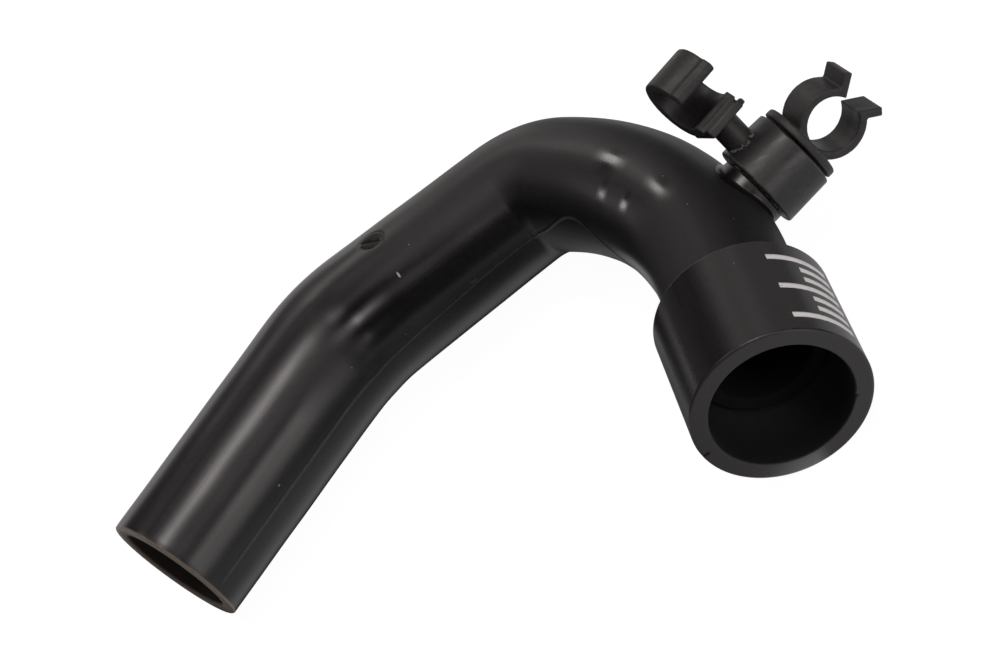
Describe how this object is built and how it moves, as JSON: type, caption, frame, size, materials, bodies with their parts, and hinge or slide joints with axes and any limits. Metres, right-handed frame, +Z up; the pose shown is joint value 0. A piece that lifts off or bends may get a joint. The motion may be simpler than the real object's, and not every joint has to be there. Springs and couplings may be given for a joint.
{
  "type": "snorkel tube",
  "caption": "Hook-shaped moulded breathing tube with a plain lower end, a swivelling socket collar on its neck, and a swivel on the elbow that carries a side snap clip and a cap snap clip",
  "frame": {"origin": "centre of the bounding box, on the surface the tube lies on", "axes": "the bends lie in a level plane; +X from the lower end to the cap clip, -Y out of the collar's mouth, +Z up"},
  "size_m": [0.1568, 0.095, 0.0413],
  "materials": {
    "tube_gloss": "polished black moulded plastic",
    "collar_rubber": "satin black rubber",
    "seal_rubber": "matte black rubber",
    "ring_plastic": "plain pale plastic",
    "washer_plastic": "plain pale plastic",
    "sleeve_plastic": "dull dark grey moulded plastic",
    "clip_plastic": "dull dark grey moulded plastic"
  },
  "bodies": {
    "tube": {"tube": "tube_gloss", "collar_seal": "seal_rubber", "collar_snap_ring": "ring_plastic", "lower_washer": "washer_plastic"},
    "collar": {"collar": "collar_rubber"},
    "sleeve": {"swivel_sleeve": "sleeve_plastic", "side_clip": "clip_plastic"},
    "cap": {"cap_clip": "clip_plastic", "upper_washer": "washer_plastic"}
  },
  "joints": [
    {"name": "collar_swivel", "type": "hinge", "parent": "tube", "child": "collar", "pos_m": [0.04205, -0.03553, 0.0157], "axis": [0, -1, 0], "continuous": true},
    {"name": "sleeve_swivel", "type": "hinge", "parent": "tube", "child": "sleeve", "pos_m": [0.05249, 0.00145, 0.0157], "axis": [0.9573, 0.289, 0], "range_deg": [-28, 255]},
    {"name": "cap_swivel", "type": "hinge", "parent": "tube", "child": "cap", "pos_m": [0.05249, 0.00145, 0.0157], "axis": [0.9573, 0.289, 0], "continuous": true}
  ]
}
